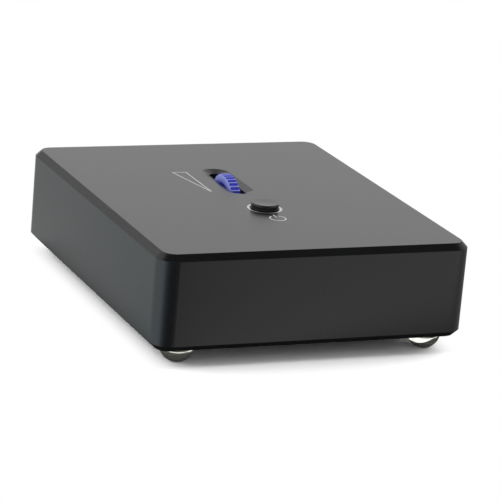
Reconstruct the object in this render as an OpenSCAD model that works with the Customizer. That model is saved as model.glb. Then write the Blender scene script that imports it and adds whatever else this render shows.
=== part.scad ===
// Phono preamp in a milled, black anodised case, with a thumbwheel gain control and a
// push button in its top and its sockets in a rear panel.
// X runs left to right, Y front to rear, Z up. The origin is on the resting plane, under
// the middle of the whole object's box, which includes what stands out at the rear.

/* [Case] */
// Width of the case
case_w = 102; // [102:0.5:112]
// Depth of the case, from its front face to its rear face
case_d = 122; // [122:0.5:140]
// Height of the case without its feet
case_h = 30; // [30:0.1:34]
// Radius of the four upright corners
corner_r = 5.8; // [4.5:0.1:7]
// Bevel round the top and bottom edges
edge_bevel = 1.9; // [1:0.1:2.2]
// Thickness of the milled side walls
side_wall = 4; // [3.6:0.1:4.2]
// Thickness of the top
top_wall = 2.2; // [2:0.1:2.6]
// Thickness of the base plate
plate_t = 2; // [1.6:0.1:2.4]

/* [Feet] */
// Radius of a clear bumper foot where it meets the base plate
foot_r = 5.3; // [4.8:0.1:5.4]
// How far the case stands above the table
foot_h = 5.1; // [4.5:0.1:5.5]
// Radius of a foot's flat underside
foot_flat_r = 2; // [1.5:0.1:2.5]
// Distance from the case's side face to a foot's centre
foot_inset_x = 10; // [9.5:0.1:14]
// Distance from the case's front or rear face to a foot's centre
foot_inset_y = 8.4; // [8.4:0.1:13]

/* [Gain wheel] */
// Radius of the thumbwheel over its ridges
wheel_r = 10.6; // [10:0.1:10.8]
// Width of the thumbwheel
wheel_w = 3.6; // [3.2:0.1:3.6]
// How far the thumbwheel stands above the top of the case
wheel_proud = 2.1; // [1.8:0.1:2.4]
// Distance from the front face to the thumbwheel's axle
wheel_y = 75.2; // [74:0.1:77]
// Number of ridges round the thumbwheel
ridge_count = 40; // [32:1:44]
// Length of the slot in the top, inside the slope round it
slot_length = 24.2; // [23:0.1:26]
// Width of the slot in the top, inside the slope round it
slot_width = 4.2; // [4.2:0.1:4.6]
// How far the slope round the slot reaches out
slope_w = 2.6; // [2.2:0.1:3]
// How deep the slope round the slot is
slope_depth = 1; // [0.8:0.1:1.2]

/* [Power button] */
// Radius of the button's cap
button_r = 4.4; // [4.2:0.1:4.6]
// How far the cap stands above the top of the case
button_proud = 1.9; // [1.8:0.1:2.2]
// Travel of the button
button_travel = 1.6; // [1.2:0.1:1.7]
// Distance from the front face to the button's centre
button_y = 44.5; // [42:0.5:48]

/* [Rear panel] */
// Thickness of the rear panel
panel_t = 1.6; // [1.4:0.1:1.8]
// Width of the rear panel
panel_w = 88; // [87:0.5:89]
// Height of the rear panel
panel_h = 23; // [22.5:0.1:23.5]
// Radius of a phono socket's barrel
barrel_r = 4.15; // [4.1:0.05:4.2]
// How far a phono socket stands out of the panel
barrel_reach = 9.5; // [9:0.1:10]
// Radius of the hole in a phono socket's centre contact
contact_bore_r = 1.65; // [1.6:0.05:1.7]
// Radius of the power inlet's mouth
inlet_mouth_r = 2.85; // [2.75:0.05:2.9]
// Radius of the ground post's thread
post_r = 2; // [1.9:0.05:2]
// How far the ground post stands out of the panel
post_reach = 12; // [11.8:0.1:13]

/* [Hidden] */
$fn = 96;
touch = 0.01;           // overlap of the pieces of one solid
slip = 0.08;            // radial gap of a running fit
loose = 0.3;            // gap between neighbours that move apart

overall_d = case_d + post_reach;
floor_z = foot_h;                   // underside of the case
top_z = foot_h + case_h;            // top face of the case
ceiling_z = top_z - top_wall;       // underside of the top
mid_z = foot_h + case_h / 2;

// Base plate, let into the underside and resting on a step in the walls
plate_sink = 0.2;
plate_z = floor_z + plate_sink;
plate_top_z = plate_z + plate_t;
plate_w = case_w - 5.8;
plate_d = case_d - 5.8;
plate_r = 3;
plate_gap = 0.15;
foot_x = case_w / 2 - foot_inset_x;

cavity_w = case_w - 2 * side_wall;
cavity_d = case_d - 2 * side_wall;
cavity_r = 3;

// Bosses along the side walls that take the base plate's screws
boss_r = 4;
boss_x = cavity_w / 2 - 3.6;
boss_y = [22, case_d - 22];
base_screw_r = 1.25;
base_screw_length = 9;
base_head_r = 2.4;

// Main board
board_t = 1.6;
standoff_h = 3.8;
board_z = plate_top_z + standoff_h;         // underside of the board
deck_z = board_z + board_t;                 // top of the board
board_w = 90;
board_front_y = 30;
board_rear_y = case_d - 5.5;
standoff_x = 33;
standoff_y = [37, case_d - 22];
standoff_r = 2.75;
board_screw_r = 1.25;

// Thumbwheel and its potentiometer
axle_z = top_z + wheel_proud - wheel_r;
axle_r = 3;
rim_bevel = 0.3;
rim_t = 1.5;                        // from the tread in to the hollow of the sides
ridge_cut_r = 0.55;
web_sink = 0.5;                     // depth of the hollow in each side of the wheel
bushing_x = wheel_w / 2 + 0.9;
bushing_length = 4;
pot_x = bushing_x + bushing_length;
pot_length = 9;
pot_r = 6;
pot_foot_t = 2.6;
bushing_r = 3.8;
axle_start_x = -wheel_w / 2 - 0.4;
axle_end_x = pot_x + 4;

// Power button and its switch
bezel_r = button_r + 1.2;
bezel_tube_r = button_r + 0.8;
bezel_lip = 0.2;
bezel_gap = 0.35;                   // open gap round the cap, as deep as bezel_gap_t
bezel_gap_t = 0.9;
cap_round = 0.6;                    // how far down the cap's edge is rounded
bezel_bottom_z = ceiling_z - 1;
cap_top_z = top_z + button_proud;
skirt_h = 0.8;
skirt_bottom_z = bezel_bottom_z - loose - skirt_h;
switch_top_z = deck_z + 9;
plunger_r = 1.5;
plunger_z = deck_z + button_travel + 0.6;
switch_w = 8.6;
stem_r = 2.3;
spring_r = 2.85;
spring_wire_r = 0.28;
spring_turns = 5;
spring_sides = 8;
spring_steps = 14;                  // steps in one turn

// Rear panel
rear_y = case_d;                    // outside of the rear panel
panel_in_y = case_d - panel_t;
panel_r = 2;
panel_gap = 0.1;
window_w = 80;
window_h = 19;
panel_screw_x = 42;
panel_screw_z = 8.6;
panel_screw_r = 1;
panel_screw_length = 3.8;
panel_head_r = 1.7;
socket_z = mid_z;

// Sockets: name, distance from the middle, and the side of the signal
sockets = [["input_left", 34.5], ["input_right", 21],
           ["output_left", -11.5], ["output_right", -25]];
socket_body_w = 10;
socket_body_d = 13;
socket_seat = 2;                    // how far a barrel sits in its body
barrel_length = socket_seat + panel_t + barrel_reach;
barrel_neck_r = barrel_r - 0.3;      // inside the panel and the coloured ring
insulator_r = barrel_r - 0.65;
contact_r = 2.1;
contact_depth = 10;
ring_r = 5.3;
ring_t = 1;

post_x = 9.8;
post_tail = 9;                      // length behind the panel's outer face
collar_r = 4.5;
collar_t = 2;
washer_r = 4.4;
washer_t = 0.8;
nut_r = 4.75;
nut_length = 6;
face_gap = 0.05;
lock_nut_r = 4;
lock_nut_t = 2.4;

selector_x = -0.8;
selector_z = deck_z + 5.2;
selector_travel = 2.4;
selector_w = 8.6;
selector_d = 6;
selector_h = 9;
lever_w = 2;
lever_reach = 1.8;
shoe_w = 3.4;
shoe_t = 1;

inlet_x = -35.2;
inlet_w = 8.6;
inlet_d = 13.5;
inlet_h = 11.4;
inlet_z = deck_z + 6.2;
inlet_nose_r = 4;
inlet_pin_r = 1.05;
inlet_depth = 9;                    // behind the panel

// Components on the board: places are [x, y], and lift is the gap under a component
supply_cap_at = [for (y = [46, 60, 74, 88]) [-34, y]];
supply_cap_r = 5;
supply_cap_h = 13;
film_cap_at = [for (y = [46 : 8 : 86]) [36, y]];
film_cap_size = [7.2, 3.5, 7.5];
chip_at = [[24, 50], [24, 68], [24, 86]];
chip_size = [6.4, 9.4, 3.3];
chip_lift = 0.6;
leg_pitch = 2.54;
resistor_at = [for (y = [60 : 4 : 92]) [-15, y]];
resistor_r = 0.95;
resistor_length = 6.2;
resistor_lift = 1.5;
lead_r = 0.3;
lead_reach = 1.3;
regulator_at = [-20, case_d - 24];
regulator_size = [10, 3.2, 9];
regulator_tab = [10, 1.3, 15];
regulator_lift = 3;

anodised = [0.17, 0.18, 0.19];
bright_metal = [0.80, 0.81, 0.83];
gold_metal = [0.83, 0.68, 0.35];
black_plastic = [0.09, 0.09, 0.10];
white_plastic = [0.91, 0.91, 0.89];
red_plastic = [0.75, 0.08, 0.08];
board_green = [0.08, 0.30, 0.18];
wheel_blue = [0.25, 0.27, 0.85];

socket_pieces = ["body", "barrel", "insulator", "contact"];

// Places the pieces, drawn from the front face back, about the middle of the whole box.
module seat() translate([0, -overall_d / 2, 0]) children();

// Lays a shape that stands along Z down along Y or along X.
module along_y(x, y, z) translate([x, y, z]) rotate([-90, 0, 0]) children();
module along_x(x, y, z) translate([x, y, z]) rotate([0, 90, 0]) children();

// Flat outline with round corners, centred.
module round_plate(w, d, r) {
    square([w - 2 * r, d], center = true);
    square([w, d - 2 * r], center = true);
    for (x = [-1, 1], y = [-1, 1]) translate([x * (w / 2 - r), y * (d / 2 - r)]) circle(r);
}

// Side view of half a case wall: upright, bevelled at its top and bottom.
module bevelled_half(reach, h, bevel) polygon([
    [0, 0], [reach - bevel, 0], [reach, bevel],
    [reach, h - bevel], [reach - bevel, h], [0, h]
]);

// Block with round upright corners and a bevel round its top and bottom.
module bevelled_block(w, d, h, r, bevel) {
    for (side = [0, 1]) mirror([side, 0, 0])
        rotate([90, 0, 0]) translate([0, 0, -d / 2 + r])
            linear_extrude(d - 2 * r) bevelled_half(w / 2, h, bevel);
    for (side = [0, 1]) mirror([0, side, 0])
        rotate([90, 0, 90]) translate([0, 0, -w / 2 + r])
            linear_extrude(w - 2 * r) bevelled_half(d / 2, h, bevel);
    for (x = [-1, 1], y = [-1, 1]) translate([x * (w / 2 - r), y * (d / 2 - r), 0])
        rotate_extrude() bevelled_half(r, h, bevel);
}

// Slot with round ends along Y, with a slope down to it all round.
module slot_cut(w, l, h, out, depth) {
    reach = l / 2 - w / 2;
    for (y = [-reach, reach]) translate([0, y, 0]) {
        cylinder(h = h, r = w / 2);
        translate([0, 0, h - depth]) cylinder(h = depth, r1 = w / 2, r2 = w / 2 + out);
    }
    rotate([90, 0, 0]) translate([0, 0, -reach]) linear_extrude(2 * reach) polygon([
        [-w / 2, 0], [w / 2, 0], [w / 2, h - depth], [w / 2 + out, h],
        [-w / 2 - out, h], [-w / 2, h - depth]
    ]);
}

// Countersunk screw with its head's face at z = 0, pointing down.
module sunk_screw(shank_r, head_r, length) {
    head_t = head_r - shank_r;
    difference() {
        union() {
            translate([0, 0, -head_t]) cylinder(h = head_t, r1 = shank_r, r2 = head_r);
            translate([0, 0, -length]) cylinder(h = length - head_t + touch, r = shank_r);
        }
        translate([0, 0, -head_t * 0.7]) cylinder(h = head_t, r = shank_r * 0.7, $fn = 6);
    }
}

// Hole for a countersunk screw, a little wider than the screw.
module sunk_hole(shank_r, head_r, length) {
    gap = 0.05;
    head_t = head_r - shank_r;
    translate([0, 0, -head_t])
        cylinder(h = head_t + gap, r1 = shank_r + gap, r2 = head_r + 2 * gap);
    translate([0, 0, -length]) cylinder(h = length, r = shank_r + gap);
}

module at_base_screws() for (x = [-1, 1], y = boss_y)
    translate([x * boss_x, y, plate_z]) mirror([0, 0, 1]) children();

module at_panel_screws() for (x = [-1, 1], z = [-1, 1])
    along_y(x * panel_screw_x, rear_y, mid_z + z * panel_screw_z) children();

module at_standoffs(z) for (x = [-1, 1], y = standoff_y) translate([x * standoff_x, y, z]) children();

module case_shell() color(anodised) seat() difference() {
    translate([0, case_d / 2, floor_z]) bevelled_block(case_w, case_d, case_h, corner_r, edge_bevel);
    difference() {
        translate([0, case_d / 2, plate_top_z - touch])
            linear_extrude(ceiling_z - plate_top_z + touch) round_plate(cavity_w, cavity_d, cavity_r);
        for (x = [-1, 1], y = boss_y) translate([x * boss_x, y, plate_top_z])
            cylinder(h = case_h, r = boss_r);
    }
    translate([0, case_d / 2, floor_z - touch]) linear_extrude(plate_top_z - floor_z + touch)
        round_plate(plate_w + 2 * plate_gap, plate_d + 2 * plate_gap, plate_r);
    at_base_screws() translate([0, 0, -base_screw_length - 1])
        cylinder(h = base_screw_length, r = base_screw_r);
    translate([0, wheel_y, ceiling_z - 1])
        slot_cut(slot_width, slot_length, top_wall + 1 + touch, slope_w, slope_depth);
    translate([0, button_y, ceiling_z - 1]) cylinder(h = top_wall + 2, r = bezel_tube_r);
    translate([-window_w / 2, case_d - side_wall - 1, mid_z - window_h / 2])
        cube([window_w, side_wall + 2, window_h]);
    along_y(0, panel_in_y, mid_z) linear_extrude(panel_t + 1)
        round_plate(panel_w + 2 * panel_gap, panel_h + 2 * panel_gap, panel_r);
    at_panel_screws() translate([0, 0, -panel_screw_length - 0.5])
        cylinder(h = panel_screw_length, r = panel_screw_r + 0.02);
}

module base_plate() color(anodised) seat() difference() {
    translate([0, case_d / 2, plate_z]) linear_extrude(plate_t) round_plate(plate_w, plate_d, plate_r);
    at_base_screws() sunk_hole(base_screw_r, base_head_r, plate_t + 1);
    at_standoffs(plate_z - 1) cylinder(h = plate_t + 2, r = standoff_r - 0.7);
}

module base_screws() color(black_plastic) seat()
    at_base_screws() sunk_screw(base_screw_r - 0.03, base_head_r, base_screw_length);

// Clear domed bumper: a ball cut flat where it stands and where it sticks to the plate.
module foot(x, y) color([0.85, 0.87, 0.84, 0.5]) seat() translate([x, y, 0]) {
    h = plate_z;
    centre_z = (foot_r * foot_r + h * h - foot_flat_r * foot_flat_r) / (2 * h);
    ball_r = sqrt(foot_flat_r * foot_flat_r + centre_z * centre_z);
    intersection() {
        translate([0, 0, centre_z]) sphere(ball_r);
        cylinder(h = h, r = 2 * foot_r);
    }
}
module foot_front_left() foot(-foot_x, foot_inset_y);
module foot_front_right() foot(foot_x, foot_inset_y);
module foot_rear_left() foot(-foot_x, case_d - foot_inset_y);
module foot_rear_right() foot(foot_x, case_d - foot_inset_y);

// Room for a square piece of the selector's lever over its whole travel.
module lever_way(size, depth) translate([-(size + selector_travel) / 2 - loose, 0, -size / 2 - loose])
    cube([size + selector_travel + 2 * loose, depth, size + 2 * loose]);

module rear_panel() color(anodised) seat() difference() {
    along_y(0, panel_in_y, mid_z) linear_extrude(panel_t) round_plate(panel_w, panel_h, panel_r);
    at_panel_screws() sunk_hole(panel_screw_r, panel_head_r, panel_t + 1);
    for (s = sockets) along_y(s[1], panel_in_y - 1, socket_z)
        cylinder(h = panel_t + 2, r = barrel_neck_r + 0.1);
    along_y(post_x, panel_in_y - 1, mid_z) cylinder(h = panel_t + 2, r = post_r + 0.1);
    along_y(inlet_x, panel_in_y - 1, inlet_z) cylinder(h = panel_t + 2, r = inlet_nose_r + 0.1);
    translate([selector_x, panel_in_y - 1, selector_z]) lever_way(lever_w, panel_t + 2);
}

module rear_panel_screws() color(black_plastic) seat()
    at_panel_screws() sunk_screw(panel_screw_r, panel_head_r, panel_screw_length);

module main_board() color(board_green) seat() difference() {
    translate([-board_w / 2, board_front_y, board_z])
        cube([board_w, board_rear_y - board_front_y, board_t]);
    for (x = [-1, 1]) translate([x * board_w / 2, boss_y[1], board_z - 1])
        cylinder(h = board_t + 2, r = board_w / 2 - boss_x + boss_r + 0.6);
    at_standoffs(board_z - 1) cylinder(h = board_t + 2, r = board_screw_r + 0.1);
}

module board_standoffs() color(bright_metal) seat() difference() {
    union() {
        at_standoffs(plate_top_z) cylinder(h = standoff_h, r = standoff_r * 2 / sqrt(3), $fn = 6);
        at_standoffs(plate_z) cylinder(h = plate_t + touch, r = standoff_r - 0.75);
    }
    at_standoffs(plate_z + 1) cylinder(h = standoff_h + plate_t, r = board_screw_r);
}

module board_screws() color(bright_metal) seat() at_standoffs(deck_z) difference() {
    union() {
        cylinder(h = 1.2, r = 2.2);
        translate([0, 0, -board_t - 2.5]) cylinder(h = board_t + 2.5 + touch, r = board_screw_r - 0.05);
    }
    for (a = [0, 90]) rotate(a) translate([-1.3, -0.25, 0.6]) cube([2.6, 0.5, 1]);
}

// Half of the thumbwheel's section, from its axle out: hub, hollow sides and a bevelled rim.
module wheel_section() {
    half = wheel_w / 2;
    hub_edge = axle_r + 2;
    rim_edge = wheel_r - rim_t;
    difference() {
        polygon([
            [axle_r + 0.02, -half], [wheel_r - rim_bevel, -half], [wheel_r, -half + rim_bevel],
            [wheel_r, half - rim_bevel], [wheel_r - rim_bevel, half], [axle_r + 0.02, half]
        ]);
        for (side = [-1, 1]) polygon([
            [hub_edge, side * (half + touch)], [hub_edge + web_sink, side * (half - web_sink)],
            [rim_edge - web_sink, side * (half - web_sink)], [rim_edge, side * (half + touch)]
        ]);
    }
}

module volume_wheel() color(wheel_blue) seat() difference() {
    along_x(0, wheel_y, axle_z) rotate_extrude() wheel_section();
    for (i = [0 : ridge_count - 1]) along_x(-wheel_w, wheel_y, axle_z)
        rotate((i + 0.5) * 360 / ridge_count) translate([wheel_r + 0.05, 0, 0])
            cylinder(h = 2 * wheel_w, r = ridge_cut_r, $fn = 16);
    along_x(0, wheel_y, axle_z) rotate([0, 90, 0]) cylinder(h = wheel_r + 1, r = 1);
}

module wheel_grub_screw() color(black_plastic) seat() along_x(0, wheel_y, axle_z)
    rotate([0, 90, 0]) translate([0, 0, axle_r + 0.05]) difference() {
        cylinder(h = 4, r = 0.95);
        translate([0, 0, 2.5]) cylinder(h = 2, r = 0.5, $fn = 6);
    }

module pot_shaft() color(bright_metal) seat() along_x(axle_start_x, wheel_y, axle_z) {
    cylinder(h = 0.4 + touch, r1 = axle_r - 0.4, r2 = axle_r);
    translate([0, 0, 0.4]) cylinder(h = axle_end_x - axle_start_x - 0.4, r = axle_r);
}

// Potentiometer: threaded bushing, cover with a round top, and a foot that reaches the board.
module pot_body() color(bright_metal) seat() difference() {
    union() {
        along_x(bushing_x, wheel_y, axle_z) cylinder(h = bushing_length + touch, r = bushing_r);
        along_x(pot_x, wheel_y, axle_z) cylinder(h = pot_length, r = pot_r);
        translate([pot_x, wheel_y - pot_r, deck_z]) cube([pot_length, 2 * pot_r, axle_z - deck_z]);
        for (y = [-1, 1]) along_x(pot_x + pot_length - touch, wheel_y + y * 4.4, axle_z)
            cylinder(h = 0.5, r = 0.8);
    }
    along_x(bushing_x - 1, wheel_y, axle_z)
        cylinder(h = axle_end_x - bushing_x + 1 + loose, r = axle_r + slip);
    translate([pot_x + pot_foot_t, wheel_y - pot_r - 1, deck_z - 1])
        cube([pot_length - 2 * pot_foot_t, 2 * pot_r + 2, 2.2]);
}

module pot_terminals() color(bright_metal) seat()
    for (x = [pot_x + 0.9, pot_x + pot_length - 0.9], y = [-5, 0, 5]) {
        side = x < pot_x + pot_length / 2 ? -1 : 1;
        left = x + side * 1.15 - 0.25;
        translate([left, wheel_y + y - 0.5, deck_z]) cube([0.5, 1, 3]);
        translate([left - (side > 0 ? 0 : 1), wheel_y + y - 0.5, deck_z]) cube([1.5, 1, 0.4]);
    }

module button_bezel() color(bright_metal) seat() translate([0, button_y, 0]) difference() {
    union() {
        translate([0, 0, bezel_bottom_z])
            cylinder(h = top_z - bezel_bottom_z + touch, r = bezel_tube_r - 0.02);
        translate([0, 0, top_z]) cylinder(h = bezel_lip, r1 = bezel_r, r2 = bezel_r - 0.2);
    }
    translate([0, 0, bezel_bottom_z - 1]) cylinder(h = top_z, r = button_r + slip);
    translate([0, 0, top_z + bezel_lip - bezel_gap_t])
        cylinder(h = bezel_gap_t + touch, r = button_r + bezel_gap);
}

// Button cap: a turned cup with a dished top, a retaining skirt and a stem for the plunger.
module power_button() color(anodised) seat() translate([0, button_y, 0]) difference() {
    union() {
        translate([0, 0, skirt_bottom_z]) cylinder(h = skirt_h, r = bezel_tube_r - 0.1);
        translate([0, 0, skirt_bottom_z])
            cylinder(h = cap_top_z - skirt_bottom_z - cap_round, r = button_r);
        translate([0, 0, cap_top_z - cap_round])
            cylinder(h = cap_round * 0.6, r1 = button_r, r2 = button_r - cap_round * 0.25);
        translate([0, 0, cap_top_z - cap_round * 0.4])
            cylinder(h = cap_round * 0.4, r1 = button_r - cap_round * 0.25, r2 = button_r - cap_round);
    }
    translate([0, 0, cap_top_z + 59.8]) sphere(60);
    difference() {
        translate([0, 0, skirt_bottom_z - 1])
            cylinder(h = ceiling_z - skirt_bottom_z + 1, r = button_r - 1);
        translate([0, 0, skirt_bottom_z - 2]) cylinder(h = top_z, r = stem_r);
    }
    translate([0, 0, skirt_bottom_z - 1])
        cylinder(h = ceiling_z - skirt_bottom_z + 2, r = plunger_r + 0.02);
}

module switch_plunger() color(white_plastic) seat() translate([0, button_y, plunger_z])
    cylinder(h = ceiling_z + 1 - plunger_z, r = plunger_r);

// Point at angle a round the spring's wire, where the wire has come to angle turn and height z.
function on_wire(a, turn, z) = let (r = spring_r + spring_wire_r * cos(a))
    [r * cos(turn), r * sin(turn), z + spring_wire_r * sin(a)];

// Return spring: a round wire swept along its turns.
module switch_spring() color(bright_metal) seat() {
    end_gap = spring_wire_r + loose / 3;
    rise = ceiling_z - switch_top_z - 2 * end_gap;
    last = spring_turns * spring_steps;
    sides = spring_sides;
    points = [for (i = [0 : last], j = [0 : sides - 1])
        on_wire(360 * j / sides, 360 * i / spring_steps, rise * i / last)];
    faces = concat(
        [[for (j = [0 : sides - 1]) j]],
        [for (i = [0 : last - 1], j = [0 : sides - 1]) let (k = (j + 1) % sides, n = i * sides)
            each [[n + j, n + sides + j, n + k], [n + k, n + sides + j, n + sides + k]]],
        [[for (j = [sides - 1 : -1 : 0]) last * sides + j]]
    );
    translate([0, button_y, switch_top_z + end_gap]) polyhedron(points, faces);
}

module switch_body() color(black_plastic) seat() translate([0, button_y, deck_z]) difference() {
    linear_extrude(switch_top_z - deck_z) round_plate(switch_w, switch_w, 0.6);
    translate([0, 0, 0.3]) cylinder(h = switch_top_z, r = plunger_r + slip);
    for (x = [-1, 1]) translate([x * switch_w / 2, 0, 5.5]) cube([0.8, 3.2, 1.6], center = true);
}

module ground_post() color(gold_metal) seat() {
    along_y(post_x, rear_y - post_tail, mid_z) cylinder(h = post_tail + post_reach - 0.5, r = post_r);
    along_y(post_x, rear_y + post_reach - 0.5 - touch, mid_z)
        cylinder(h = 0.5 + touch, r1 = post_r, r2 = post_r - 0.5);
    along_y(post_x, rear_y, mid_z) cylinder(h = collar_t, r = collar_r);
}

module ground_lock_nut() color(gold_metal) seat()
    along_y(post_x, panel_in_y - lock_nut_t, mid_z) difference() {
        cylinder(h = lock_nut_t, r = lock_nut_r, $fn = 6);
        translate([0, 0, -1]) cylinder(h = lock_nut_t + 2, r = post_r + 0.02);
    }

module ground_washer() color(bright_metal) seat()
    along_y(post_x, rear_y + collar_t + face_gap, mid_z) difference() {
        cylinder(h = washer_t, r = washer_r);
        translate([0, 0, -1]) cylinder(h = washer_t + 2, r = post_r + slip);
    }

// Thumb nut: turned with a step and bevels, with flutes round its grip.
module ground_thumb_nut() color(gold_metal) seat()
    along_y(post_x, rear_y + collar_t + washer_t + 2 * face_gap, mid_z) difference() {
        rotate_extrude() polygon([
            [post_r + slip, 0], [nut_r - 0.9, 0], [nut_r - 0.9, 1], [nut_r - 0.3, 1], [nut_r, 1.3],
            [nut_r, nut_length - 0.5], [nut_r - 0.5, nut_length], [post_r + slip, nut_length]
        ]);
        for (a = [0 : 15 : 345]) rotate(a) translate([nut_r + 0.2, 0, 1])
            cylinder(h = nut_length, r = 0.45, $fn = 16);
    }

module socket_body(x) color(black_plastic) seat() difference() {
    translate([x - socket_body_w / 2, panel_in_y - socket_body_d, deck_z])
        cube([socket_body_w, socket_body_d, socket_z + socket_body_w / 2 - deck_z]);
    along_y(x, panel_in_y - socket_seat, socket_z)
        cylinder(h = socket_seat + 1, r = barrel_neck_r + 0.02);
    translate([x - socket_body_w / 2 - 1, panel_in_y - socket_body_d - 1, socket_z + 1])
        cube([socket_body_w + 2, 4, socket_body_w]);
}

// Everything turned in a phono socket starts where its barrel sits in the body.
module in_socket(x) seat() along_y(x, panel_in_y - socket_seat, socket_z) children();

module socket_barrel(x) color(gold_metal) in_socket(x) rotate_extrude() {
    neck = socket_seat + panel_t + ring_t;
    polygon([
        [insulator_r + 0.02, 0], [barrel_neck_r, 0], [barrel_neck_r, neck], [barrel_r, neck],
        [barrel_r, barrel_length - 0.5], [barrel_r - 0.4, barrel_length],
        [insulator_r + 0.02, barrel_length]
    ]);
}

module socket_insulator(x) color(white_plastic) in_socket(x) difference() {
    cylinder(h = barrel_length - 0.4, r = insulator_r);
    translate([0, 0, -1]) cylinder(h = barrel_length + 1, r = contact_r + 0.02);
}

module socket_contact(x) color(gold_metal) in_socket(x) difference() {
    length = barrel_length - 0.7;
    cylinder(h = length, r = contact_r);
    translate([0, 0, length - contact_depth]) cylinder(h = contact_depth + 1, r = contact_bore_r);
}

module socket_ring(x) along_y(x, rear_y, socket_z) difference() {
    union() {
        cylinder(h = ring_t - 0.3, r = ring_r);
        translate([0, 0, ring_t - 0.3]) cylinder(h = 0.3, r1 = ring_r, r2 = ring_r - 0.3);
    }
    translate([0, 0, -1]) cylinder(h = ring_t + 2, r = barrel_neck_r + 0.02);
}
module socket_rings_white() color(white_plastic) seat() for (i = [0, 2]) socket_ring(sockets[i][1]);
module socket_rings_red() color(red_plastic) seat() for (i = [1, 3]) socket_ring(sockets[i][1]);

// Power inlet: a box on the board with a round nose that ends flush with the panel.
module power_inlet_body() color(black_plastic) seat() difference() {
    union() {
        translate([inlet_x - inlet_w / 2, panel_in_y - inlet_d, deck_z])
            cube([inlet_w, inlet_d, inlet_h]);
        along_y(inlet_x, panel_in_y - touch, inlet_z)
            cylinder(h = panel_t + 0.3 + touch, r = inlet_nose_r);
    }
    along_y(inlet_x, panel_in_y - inlet_depth, inlet_z)
        cylinder(h = inlet_depth + panel_t + 1, r = inlet_mouth_r);
    along_y(inlet_x, rear_y - 0.2, inlet_z)
        cylinder(h = 0.51, r1 = inlet_mouth_r, r2 = inlet_mouth_r + 0.5);
}

module power_inlet_pin() color(bright_metal) seat() {
    along_y(inlet_x, panel_in_y - inlet_depth, inlet_z)
        cylinder(h = inlet_depth + panel_t - 1 - inlet_pin_r, r = inlet_pin_r);
    translate([inlet_x, rear_y - 1 - inlet_pin_r, inlet_z]) sphere(inlet_pin_r);
}

// Slide switch: its lever's shoe runs in a pocket behind the front wall.
module gain_selector_body() color(black_plastic) seat() difference() {
    translate([selector_x - selector_w / 2, panel_in_y - selector_d, deck_z])
        cube([selector_w, selector_d, selector_h]);
    translate([selector_x, panel_in_y - 1 - shoe_t - loose, selector_z])
        lever_way(shoe_w, shoe_t + 2 * loose);
    translate([selector_x, panel_in_y - 2, selector_z]) lever_way(lever_w, 3);
}

module gain_selector_lever() color(white_plastic) seat()
    translate([selector_x - selector_travel / 2, panel_in_y - 1 - shoe_t, selector_z]) {
        translate([-shoe_w / 2, 0, -shoe_w / 2]) cube([shoe_w, shoe_t, shoe_w]);
        translate([-lever_w / 2, shoe_t - touch, -lever_w / 2])
            cube([lever_w, 1 + panel_t + lever_reach, lever_w]);
    }

// Electrolytic capacitor: a can with a crimped groove near its foot and a round upper edge.
module supply_capacitors() color([0.12, 0.14, 0.22]) seat()
    for (p = supply_cap_at) translate([p[0], p[1], deck_z]) difference() {
        union() {
            cylinder(h = supply_cap_h - 0.5, r = supply_cap_r);
            translate([0, 0, supply_cap_h - 0.5])
                cylinder(h = 0.5, r1 = supply_cap_r, r2 = supply_cap_r - 0.5);
        }
        translate([0, 0, 2]) rotate_extrude() translate([supply_cap_r + 0.3, 0]) circle(0.6, $fn = 32);
        for (a = [0, 90]) rotate(a) translate([-3, -0.15, supply_cap_h - 0.2]) cube([6, 0.3, 1]);
    }

module film_capacitors() color([0.75, 0.16, 0.12]) seat() for (p = film_cap_at)
    translate([p[0], p[1], deck_z]) linear_extrude(film_cap_size[2])
        round_plate(film_cap_size[0], film_cap_size[1], 0.5);

// Chips, each on two rows of bent legs.
module amplifier_chips() color(black_plastic) seat() for (p = chip_at) translate([p[0], p[1], deck_z]) {
    leg_h = chip_lift + chip_size[2] / 2;
    difference() {
        translate([-chip_size[0] / 2, -chip_size[1] / 2, chip_lift]) cube(chip_size);
        translate([0, -chip_size[1] / 2, chip_lift + chip_size[2]]) sphere(0.8, $fn = 24);
    }
    for (x = [-1, 1], i = [-1.5 : 1.5]) translate([x * (chip_size[0] / 2 + 0.45), i * leg_pitch, 0]) {
        translate([0, 0, leg_h - 0.15]) cube([1, 1.2, 0.3], center = true);
        translate([x * 0.35, 0, leg_h / 2]) cube([0.3, 0.8, leg_h], center = true);
    }
}

// Resistors, each with a cap at both ends and its leads bent down to the board.
module resistors() color([0.30, 0.55, 0.75]) seat()
    for (p = resistor_at) translate([p[0], p[1], deck_z]) {
        half = resistor_length / 2;
        along_x(-half, 0, resistor_lift) {
            cylinder(h = resistor_length, r = resistor_r);
            for (z = [0, resistor_length - 1.4]) translate([0, 0, z])
                cylinder(h = 1.4, r = resistor_r + 0.2);
        }
        for (side = [0, 1]) mirror([side, 0, 0]) {
            along_x(half - touch, 0, resistor_lift)
                cylinder(h = lead_reach + 0.1 + touch, r = lead_r);
            translate([half + lead_reach, 0, 0]) cylinder(h = resistor_lift + 0.25, r = lead_r);
        }
    }

// Regulator on three legs, with its tab standing up behind it.
module voltage_regulator() color(black_plastic) seat()
    translate([regulator_at[0] - regulator_size[0] / 2, regulator_at[1], deck_z]) {
        translate([0, 0, regulator_lift]) cube(regulator_size);
        difference() {
            translate([0, regulator_size[1] - touch, regulator_lift]) cube(regulator_tab);
            along_y(regulator_size[0] / 2, regulator_size[1] - 1, regulator_tab[2])
                cylinder(h = 4, r = 1.8);
        }
        for (i = [-1 : 1]) translate([regulator_size[0] / 2 + i * leg_pitch - 0.4, 1.3, 0])
            cube([0.8, 0.5, regulator_lift + touch]);
    }

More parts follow.
